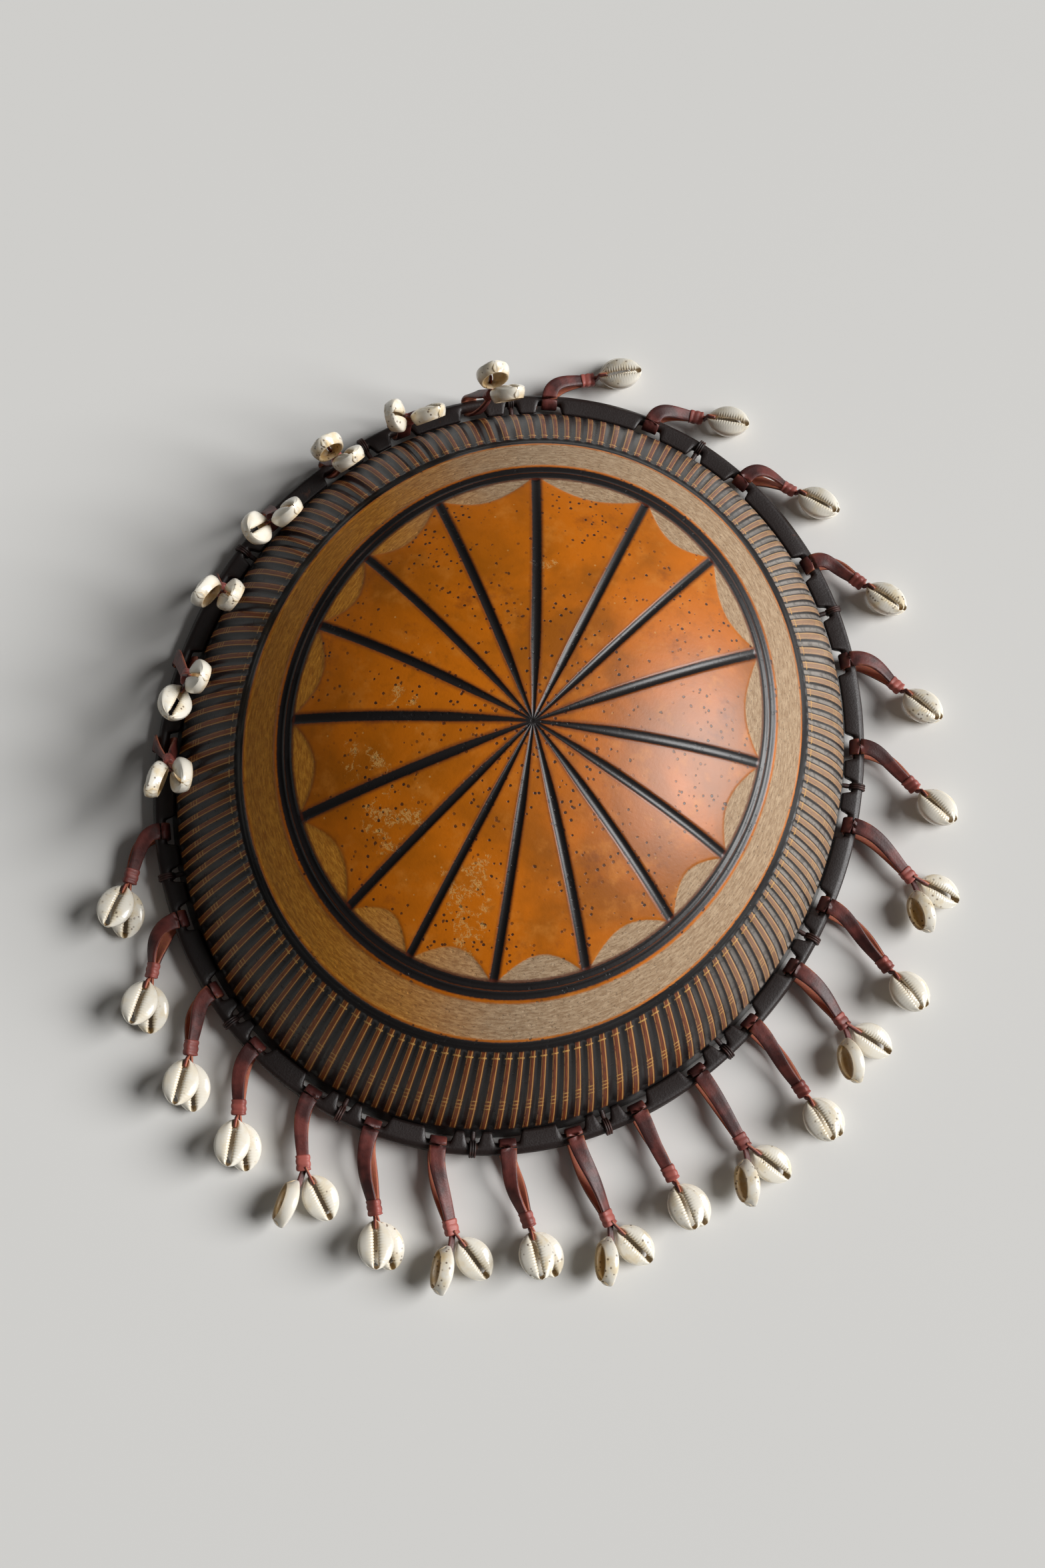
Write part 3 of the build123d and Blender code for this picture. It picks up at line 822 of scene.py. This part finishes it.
class RATTLE_OT_gourd(bpy.types.Operator):
    """Build the half gourd with its carving cut into the wall"""

    bl_idname = "rattle.gourd"
    bl_label = "Carved Gourd"

    rows: whole("Rows", "Rows of points from the hub to the rim", 230, 40)
    lip_rows: whole("Lip rows", "Rows of points round each edge of the rim", 5, 2)
    inner_rows: whole("Inner rows", "Rows of points inside, from the rim to the crown", 40, 10)
    points_per_bar: whole("Points per bar", "Round the hatched band", 6, 4)

    def execute(self, context):
        gourd = context.scene.rattle_gourd
        wide, long, height = dome_axes(gourd)
        drop, lip, wall = gourd.equator_drop, gourd.lip, gourd.wall
        around = np.linspace(0, 2 * np.pi, gourd.bars * self.points_per_bar, endpoint=False)
        way = np.stack([np.cos(around), np.sin(around)], axis=-1)

        def lip_oval(inset):
            """The oval at the lip's height of the ellipsoid that lies that far inside the dome."""
            share = math.sqrt(1 - ((lip + drop) / (height - inset)) ** 2)
            return way * np.array([wide - inset, long - inset]) * share

        def lift(flat, inset):
            """How high that ellipsoid stands over points of the ground."""
            share = 1 - (flat[..., 0] / (wide - inset)) ** 2 - (flat[..., 1] / (long - inset)) ** 2
            return (height - inset) * np.sqrt(np.clip(share, 0, 1)) - drop

        shape = Shape()
        outer, inner = lip_oval(0), lip_oval(wall)
        share = rimward(np.linspace(CROWN_SHARE, 1, self.rows))[:, None, None]
        flat = np.array(gourd.hub) * (1 - share) + outer * share
        skin = np.dstack([flat, lift(flat, 0)])
        steep = (skin + np.array([0, 0, drop])) / np.array([wide, long, height]) ** 2
        steep /= np.linalg.norm(steep, axis=-1, keepdims=True)
        depth = carving(gourd, flat[..., 0], flat[..., 1])
        shape.grid(skin - steep * depth[..., None], ends=False)
        shape.fill(range(len(around))[::-1])

        out_way = way / np.array([wide, long])
        out_way /= np.linalg.norm(out_way, axis=-1, keepdims=True)
        quarter = np.linspace(0, math.pi / 2, self.lip_rows)
        rows = []
        for edge, side, turns in ((outer, -1, quarter), (inner, 1, quarter[::-1])):
            for turn in turns:
                ring = edge + out_way * (side * lip * (1 - math.cos(turn)))
                rows.append(np.column_stack([ring, np.full(len(around), lip * (1 - math.sin(turn)))]))
        shape.grid(rows, ends=False, kind=1)

        flat = inner * rimward(np.linspace(1, CROWN_SHARE, self.inner_rows))[:, None, None]
        shape.grid(np.dstack([flat, lift(flat, wall)]), ends=False, kind=1)
        shape.fill(range(shape.count - len(around), shape.count), kind=1)
        piece = shape.build("carved_gourd", [gourd_skin(gourd), gourd_inside(gourd)])
        dress(piece, BOWL, "gourd", "gourd_bowl")
        return {"FINISHED"}


def tie_angles():
    """The lashings stand midway between thongs, one for every few of them."""
    following = THONG_ANGLES[1:] + (THONG_ANGLES[0] + 360,)
    return [(low + high) / 2 for low, high in list(zip(THONG_ANGLES, following))[::THONGS_PER_TIE]]


def reach_behind(gourd, place, height, inset):
    """How far behind the cord's centre the gourd's wall lies at a height, that far inside its skin."""
    axes = [axis - inset for axis in dome_axes(gourd)]
    share = 1 - ((height + gourd.equator_drop) / axes[2]) ** 2
    start, step = place.translation, place.to_3x3().col[0]
    a = (step.x / axes[0]) ** 2 + (step.y / axes[1]) ** 2
    b = start.x * step.x / axes[0] ** 2 + start.y * step.y / axes[1] ** 2
    c = (start.x / axes[0]) ** 2 + (start.y / axes[1]) ** 2 - share
    return (b - math.sqrt(b * b - a * c)) / a


class RATTLE_OT_rim_cord(bpy.types.Operator):
    """Build the rolled cord round the rim, whose flap fills the gap to the wall between the thongs"""

    bl_idname = "rattle.rim_cord"
    bl_label = "Rim Cord"

    stations: whole("Stations", "Sections round the rim", 1440, 90)
    sides: whole("Sides", "Points round a section", 22, 8)

    def execute(self, context):
        scene = context.scene
        cord, thong, gourd = scene.rattle_cord, scene.rattle_thong, scene.rattle_gourd
        rounds = np.linspace(0, 2 * np.pi, self.sides, endpoint=False)
        towards = soft_step(-np.cos(rounds), 0.1, 0.55)
        notches = [(cord_place(scene, a).translation, THONG_NOTCH * thong.width) for a in THONG_ANGLES]
        notches += [(cord_place(scene, a).translation, TIE_NOTCH * cord.tie_width) for a in tie_angles()]
        rows, seams = [], []
        for angle in np.linspace(0, 360, self.stations + 1):
            place = cord_place(scene, angle)
            turn = math.radians(angle)
            seam_at = 0.9 + 0.5 * math.sin(3 * turn) + 0.3 * math.sin(7 * turn + 2)
            off = np.abs((rounds - seam_at + np.pi) % (2 * np.pi) - np.pi)
            seam = np.exp(-((off / 0.3) ** 2))
            wave = 0.5 * math.sin(23 * turn) + 0.5 * math.sin(41 * turn + 1)
            lumps = 0.955 + 0.03 * np.sin(rounds * 2 + 9 * turn) + 0.012 * wave
            reach = cord.diameter / 2 * (lumps - 0.12 * seam)
            across, up = reach * np.cos(rounds), reach * np.sin(rounds)
            clear = min((place.translation - spot).length - half for spot, half in notches)
            flap = towards * soft_step(clear, 0.0, FLAP_RAMP)
            wall = np.array([-reach_behind(gourd, place, cord.height + z, 0) for z in up]) + FLAP_GAP
            across = across + (wall - across) * flap
            rows.append(at(place, np.stack([across, np.zeros(self.sides), up], axis=-1)))
            seams.append(seam)
        shape = Shape()
        shape.grid(rows, ends=False, cord_seam=seams)
        piece = shape.build("rolled_cord", [cord_leather(cord)])
        dress(piece, BOWL, "cord_leather", "rim_cord")
        return {"FINISHED"}


class RATTLE_OT_cord_ties(bpy.types.Operator):
    """Build the lashings that hold the cord, each with its lace through the wall and a knot inside"""

    bl_idname = "rattle.cord_ties"
    bl_label = "Cord Ties"

    sides: whole("Sides", "Points round a lashing", 28, 12)

    def execute(self, context):
        scene = context.scene
        cord, gourd = scene.rattle_cord, scene.rattle_gourd
        shape = Shape()
        for angle in tie_angles():
            self.lashing(shape, cord, gourd, cord_place(scene, angle))
        piece = shape.build("cord_lashings", [tie_leather(cord)])
        dress(piece, BOWL, "tie_leather", "cord_ties")
        return {"FINISHED"}

    def lashing(self, shape, cord, gourd, place):
        """Three turns of lace round the cord, the shank behind them and the two lobes of its knot."""
        inner = cord.diameter / 2 + cord.tie_clearance
        rounds = np.linspace(0, 2 * np.pi, self.sides, endpoint=False)
        half, thick = cord.tie_width / 2, cord.tie_thickness
        profile = []
        for lace in (-1, 0, 1):
            for turn in np.linspace(math.pi, 0, 5):
                across = (lace + 0.98 * math.cos(turn) / 2) * cord.tie_width / 3
                profile.append((across, inner + thick * (0.45 + 0.55 * math.sin(turn))))
        profile += [(half, inner), (-half, inner)]
        band = [
            at(place, [(reach * math.cos(t), across, reach * math.sin(t)) for across, reach in profile])
            for t in (*rounds, rounds[0])
        ]
        shape.grid(band, ends=False)
        knot = cord.tie_knot / 2
        behind = reach_behind(gourd, place, cord.height, gourd.wall) + knot + 0.3 * MM
        shank = []
        for x in np.linspace(-inner - thick * 0.4, -behind, 8):
            radius = cord.tie_shank / 2 * (0.9 + 0.1 * math.cos(x * 2500))
            shank.append(at(place, [(x, radius * math.cos(t), radius * math.sin(t)) for t in rounds[::2]]))
        shape.grid(shank)
        for lobe, lean in ((-0.22, 0.5), (0.22, -0.5)):
            rows = []
            for v in np.linspace(0.12, math.pi - 0.12, 9):
                ring = [(-behind + lobe * knot + 0.62 * knot * math.cos(v),
                         knot * 0.95 * math.sin(v) * math.cos(t + lean) * 0.95,
                         knot * 0.95 * math.sin(v) * math.sin(t + lean) * 0.85) for t in rounds[::2]]
                rows.append(at(place, ring))
            shape.grid(rows)


class RATTLE_OT_thongs(bpy.types.Operator):
    """Build each looped thong: the strap over the cord, the lace round its neck and its two ends"""

    bl_idname = "rattle.thongs"
    bl_label = "Thongs"

    rows: whole("Rows", "Sections along each strand", 22, 6)
    fold_rows: whole("Fold rows", "Sections over the cord", 13, 5)
    lace_rows: whole("Lace rows", "Sections along the lace", 25, 9)
    lace_sides: whole("Lace sides", "Points round the lace", 24, 8)
    tongue_rows: whole("Tongue rows", "Sections along the strap's end in a shell", 15, 5)

    def execute(self, context):
        scene = context.scene
        material = thong_leather(scene.rattle_thong)
        for number in range(len(THONG_ANGLES)):
            hang = Thong(scene, number)
            shape = Shape()
            self.strap(shape, scene, hang)
            self.lace(shape, scene.rattle_thong, hang)
            for place, tail, lift in hang.shells():
                self.tongue(shape, scene, hang, place, tail, lift)
            piece = shape.build(f"thong_{number + 1:02d}", [material], hang.seat)
            dress(piece, hang.body, "thong_leather", f"{hang.body}_thong")
        return {"FINISHED"}

    def leather(self, shape, hang, rows, side, along, across, lace=0.0, shift=0):
        """Adds rows of leather, with the numbers that its finish reads."""
        shape.grid(
            rows, strap_side=side, strap_lace=lace, strap_along=np.array(along)[:, None], strap_across=across,
            strap_number=hang.number * PATTERN_STEP + shift,
        )

    def strap(self, shape, scene, hang):
        """One strap from the neck to the cord, over it and back to the neck."""
        thong, cord = scene.rattle_thong, scene.rattle_cord
        middle = loop_radius(cord, thong) + thong.thickness / 2
        gaps = (middle, thong.opening, thong.opening * 0.7, thong.thickness / 2)
        bow = np.polyfit((0, 0.3, 0.62, 1), gaps, 3)
        stations = []
        for side, shares in ((-1, np.linspace(1, 0, self.rows)), (1, np.linspace(0, 1, self.rows))):
            for share in shares:
                level = hang.section(share)
                way, out = level.to_3x3().col[0], level.to_3x3().col[1] * side
                width = thong.width + (thong.neck_strap - thong.width) * share
                centre = level.translation + out * np.polyval(bow, share)
                stations.append((centre, way * -side, out, width))
            if side < 0:
                for turn in np.linspace(-math.pi / 2, -3 * math.pi / 2, self.fold_rows)[1:-1]:
                    out = Vector((math.cos(turn), 0, math.sin(turn)))
                    stations.append((out * middle, Vector((0, 1, 0)), out, thong.width))
        rows, far, gone = [], [], 0.0
        last = stations[0][0]
        for centre, way, out, width in stations:
            gone += (centre - last).length
            last = centre
            far.append(gone)
            rows.append([
                centre + way * (u * width / 2) + out * (v * thong.thickness / 2) for u, v in STRAP_OUTLINE
            ])
        across = np.array([STRAP_ACROSS * width / 2 for *_, width in stations])
        self.leather(shape, hang, rows, STRAP_SIDES, far, across)

    def lace(self, shape, thong, hang):
        """The lace wound round the neck."""
        neck = hang.section(1)
        rounds = np.linspace(0, 2 * np.pi, self.lace_sides, endpoint=False)
        box = np.stack([np.cos(rounds), np.sin(rounds)], axis=-1)
        box = np.sign(box) * np.abs(box) ** 0.62
        steps = np.linspace(0, 1, self.lace_rows)
        rows = []
        for step in steps:
            wound = 0.9 + 0.1 * np.abs(np.sin(np.pi * 2.5 * step + rounds / 2))
            ends = min(1.0, 0.72 + 6 * min(step, 1 - step))
            flat = box * np.array([thong.neck_width, thong.neck_thickness]) / 2 * (wound * ends)[:, None]
            lift = np.full((len(rounds), 1), -thong.neck_overlap + thong.neck_length * step)
            rows.append(at(neck, np.hstack([flat, lift])))
        across = rounds / (2 * np.pi) * 12 * MM
        self.leather(shape, hang, rows, 1.0, steps * thong.neck_length, across, lace=1.0, shift=5)

    def tongue(self, shape, scene, hang, place, tail, lift):
        """The strap's end, from the neck, up over the shell's tip where it has to, and into the slit."""
        thong, shell = scene.rattle_thong, scene.rattle_shell
        low = thong.clearance - shell.base
        high = shell.slit_rise - thong.clearance
        middle, half = (low + high) / 2, (high - low) / 2
        start, end = -tail - thong.neck_overlap, thong.tongue_depth
        rows, far = [], np.linspace(start, end, self.tongue_rows)
        for x in far:
            up = soft_step(x, -tail, 0.6 * MM) if lift else 1.0
            centre = middle * up + (lift - middle) * (1 - up)
            stretch = 1 + 1.6 * up * (1 - up) - 0.35 * soft_step(x, end - 2.5 * MM, end)
            rows.append(at(place, [
                (x, v * thong.tongue_thickness / 2, centre + u * half * stretch) for u, v in STRAP_OUTLINE
            ]))
        self.leather(shape, hang, rows, STRAP_SIDES, far, STRAP_ACROSS * half, shift=9)


def leg(long, short):
    """The third side of a right triangle, or 0 where there is none."""
    return math.sqrt(max(long**2 - short**2, 0))


def shell_skin(shell, count):
    """One side of a cowrie in its own frame, as loops from end to end, with the finish's numbers."""
    drop = shell.side_round - shell.width / 2
    widest = shell.front_round + math.sqrt((shell.side_round - shell.front_round) ** 2 - drop**2)
    rest = shell.length - widest
    rear_round = (rest**2 + drop**2 - shell.side_round**2) / (2 * (rest - shell.side_round))
    front_to, rear_to = (
        widest + step / math.hypot(step, drop) * shell.side_round
        for step in (shell.front_round - widest, shell.length - rear_round - widest)
    )

    def girth(x):
        """The shell's radius at a distance from its narrow end."""
        if x < front_to:
            return leg(shell.front_round, x - shell.front_round)
        if x > rear_to:
            return leg(rear_round, x - shell.length + rear_round)
        return leg(shell.side_round, x - widest) - drop

    stations = shell.length * (1 - np.cos(np.linspace(0.06, np.pi - 0.05, count))) / 2
    loops, inner, slit_tints_and_shade = [], [], []
    for x in stations:
        reach = girth(x)
        along = x / shell.length
        toothed = soft_step(along, 0.16, 0.26) * (1 - soft_step(along, 0.84, 0.92))
        tooth = toothed * (0.5 + 0.5 * math.cos(2 * math.pi * shell.teeth * (along - 0.2) / 0.66))
        slit = min(shell.slit / 2, 0.42 * reach) - 0.36 * MM * tooth
        base = -min(shell.base - (x - shell.length / 2) ** 2 / (52 * MM), 0.78 * reach)
        top = min(shell.back, reach)
        open_by = leg(reach, shell.back)
        rim = open_by if open_by > 0 else -0.5 * (shell.back - top)
        rim = max(rim, -0.25 * reach)
        thick = min(shell.wall, 0.4 * reach)
        foot = leg(reach, base)
        bulge = 0.17 * MM * tooth
        shoulder = 0.55 * top
        flank = leg(reach, shoulder)
        lip = 0.95 * foot - slit
        loops.append([
            (slit, base + 1.15 * thick),
            (slit + 0.04 * lip, base + 0.5 * thick),
            (slit + 0.16 * lip, base + 0.16 * thick - bulge),
            (slit + 0.34 * lip, base - bulge * 0.6),
            (slit + 0.56 * lip, base + 0.06 * thick),
            (slit + 0.8 * lip, base + 0.34 * thick),
            (0.965 * foot, base + 0.7 * thick),
            (0.985 * reach, 0.3 * base),
            (reach, 0.12 * reach),
            (flank, shoulder),
            (rim + 0.3 * (flank - rim), 0.5 * (shoulder + top) + 0.28 * (top - shoulder)),
            (rim + 0.1 * thick, top),
            (rim - 0.55 * thick, top - 0.1 * MM),
            (rim - 0.75 * thick, top - 0.75 * thick),
            (max(reach - thick, 0.2 * reach), 0.3 * top),
            (max(reach - 1.1 * thick, 0.2 * reach), base + 1.3 * thick),
            (0.55 * foot, base + thick),
            (slit + 0.9 * thick, base + 0.95 * thick),
        ])
        inner.append([0.6, 0.2, 0, 0, 0, 0, 0, 0, 0, 0, 0, 0, 0.5, 1, 1, 1, 1, 0.9])
        # The slit's walls and the gaps between teeth, for the cream that is partly warm tint and partly
        # painted shade
        slit_tints_and_shade.append([1 - tooth] * 3 + [0.4 * (1 - tooth)] + [0] * 13 + [0.6])

    def rounded(values):
        """Cuts the corners of closed loops."""
        after = np.roll(values, -1, axis=1)
        pair = np.stack([0.75 * values + 0.25 * after, 0.25 * values + 0.75 * after], axis=2)
        return pair.reshape(values.shape[0], -1, *values.shape[2:])

    loops, inner, slit_tints_and_shade = (rounded(rounded(np.array(v, dtype=float))) for v in (loops, inner, slit_tints_and_shade))
    xs = np.repeat(stations[:, None], loops.shape[1], axis=1)
    return np.dstack([xs, loops]), inner, slit_tints_and_shade


class RATTLE_OT_cowries(bpy.types.Operator):
    """Build the pairs of cowrie shells, with toothed lips and sliced backs"""

    bl_idname = "rattle.cowries"
    bl_label = "Cowries"

    stations: whole("Stations", "Sections along a shell", 100, 30)

    def execute(self, context):
        scene = context.scene
        shell = scene.rattle_shell
        material = shell_glaze(shell)
        skin, inner, slit_tints_and_shade = shell_skin(shell, self.stations)
        mirrored = (skin * np.array([1, -1, 1]))[:, ::-1]
        chance = np.random.default_rng(7)
        for number in range(len(THONG_ANGLES)):
            hang = Thong(scene, number)
            shape = Shape()
            for place, *_ in hang.shells():
                pick = chance.random()
                for half, deep, gum in ((skin, inner, slit_tints_and_shade), (mirrored, inner[:, ::-1], slit_tints_and_shade[:, ::-1])):
                    shape.grid(
                        at(place, half.reshape(-1, 3)).reshape(half.shape), shell_x=half[..., 0],
                        shell_y=half[..., 1], shell_z=half[..., 2], shell_inner=deep, shell_gum=gum,
                        shell_pick=pick,
                    )
            piece = shape.build(f"cowries_{number + 1:02d}", [material], hang.seat)
            dress(piece, hang.body, "cowrie", f"{hang.body}_cowries")
        return {"FINISHED"}


class RATTLE_OT_stage(bpy.types.Operator):
    """Set the floor, the light and the camera"""

    bl_idname = "rattle.stage"
    bl_label = "Stage"

    def execute(self, context):
        scene = context.scene
        stage = scene.rattle_stage
        shape = Shape()
        span = np.linspace(-stage.floor_reach, stage.floor_reach, 9)
        shape.grid([[(x, y, -stage.floor_drop) for x in span] for y in span], closed=False, ends=False)
        floor = shape.build("floor", [stage_floor(stage)])
        if floor.data.polygons[0].normal.z < 0:
            floor.data.flip_normals()
        self.window(scene, stage)
        self.sky(scene, stage)
        self.camera(scene, stage, scene.rattle_gourd)
        scene.view_settings.view_transform = "Standard"
        return {"FINISHED"}

    def window(self, scene, stage):
        """A broad light that is the same all over the floor."""
        light = bpy.data.lights.new("window", "SUN")
        light.energy = stage.window_strength
        light.angle = stage.window_angle
        lamp = bpy.data.objects.new("window", light)
        lamp.location = Vector(stage.window_way)
        lamp.rotation_euler = (-lamp.location).to_track_quat("-Z", "Y").to_euler()
        scene.collection.objects.link(lamp)

    def sky(self, scene, stage):
        """Even light from all round, which the camera sees as a pale backdrop."""
        world = bpy.data.worlds.new("even_light")
        world.use_nodes = True
        nodes, links = world.node_tree.nodes, world.node_tree.links
        sky, seen = nodes["Background"], nodes.new("ShaderNodeLightPath")
        level = nodes.new("ShaderNodeMapRange")
        sky.inputs["Color"].default_value = (1.0, 0.99, 0.97, 1)
        level.inputs["To Min"].default_value = stage.sky
        level.inputs["To Max"].default_value = stage.backdrop
        links.new(seen.outputs["Is Camera Ray"], level.inputs["Value"])
        links.new(level.outputs["Result"], sky.inputs["Strength"])
        scene.world = world

    def camera(self, scene, stage, gourd):
        """The photograph's view: high up, rolled, with the hub a little off the picture's centre."""
        view = bpy.data.cameras.new("photo_view")
        view.sensor_fit = "VERTICAL"
        view.sensor_height = 36.0
        view.lens = stage.focal_pixels / PHOTO_HEIGHT * view.sensor_height
        view.shift_x = (PHOTO_WIDTH / 2 - HUB_IN_PHOTO[0]) / PHOTO_HEIGHT
        view.shift_y = (HUB_IN_PHOTO[1] - PHOTO_HEIGHT / 2) / PHOTO_HEIGHT
        view.clip_start = 0.01
        back = Vector((0, -math.cos(stage.elevation), math.sin(stage.elevation)))
        upward = Vector((0, math.sin(stage.elevation), math.cos(stage.elevation)))
        side = Vector((1, 0, 0))
        right = side * math.cos(stage.roll) + upward * math.sin(stage.roll)
        up = upward * math.cos(stage.roll) - side * math.sin(stage.roll)
        camera = bpy.data.objects.new("photo_view", view)
        camera.matrix_world = axes_at(
            right, up, back, Vector((*gourd.hub, gourd.depth)) + back * stage.distance
        )
        scene.collection.objects.link(camera)
        scene.camera = camera


OPERATORS = (
    RATTLE_OT_gourd, RATTLE_OT_rim_cord, RATTLE_OT_cord_ties, RATTLE_OT_thongs, RATTLE_OT_cowries,
    RATTLE_OT_stage,
)
SETTINGS = {
    "rattle_gourd": GourdSettings,
    "rattle_cord": CordSettings,
    "rattle_thong": ThongSettings,
    "rattle_shell": ShellSettings,
    "rattle_stage": StageSettings,
}


class RATTLE_PT_panel(bpy.types.Panel):
    """Lists the rattle's pieces"""

    bl_label = "Rattle"
    bl_idname = "RATTLE_PT_panel"
    bl_space_type = "VIEW_3D"
    bl_region_type = "UI"
    bl_category = "Rattle"

    def draw(self, context):
        for operator in OPERATORS:
            self.layout.operator(operator.bl_idname)


def register():
    for group in (*SETTINGS.values(), *OPERATORS, RATTLE_PT_panel):
        bpy.utils.register_class(group)
    for name, group in SETTINGS.items():
        setattr(bpy.types.Scene, name, PointerProperty(type=group))


def unregister():
    for name in SETTINGS:
        delattr(bpy.types.Scene, name)
    for group in (RATTLE_PT_panel, *reversed(OPERATORS), *reversed(SETTINGS.values())):
        bpy.utils.unregister_class(group)


def main():
    register()
    bpy.ops.rattle.gourd()
    bpy.ops.rattle.rim_cord()
    bpy.ops.rattle.cord_ties()
    bpy.ops.rattle.thongs()
    bpy.ops.rattle.cowries()
    bpy.ops.rattle.stage()


if __name__ == "__main__":
    main()
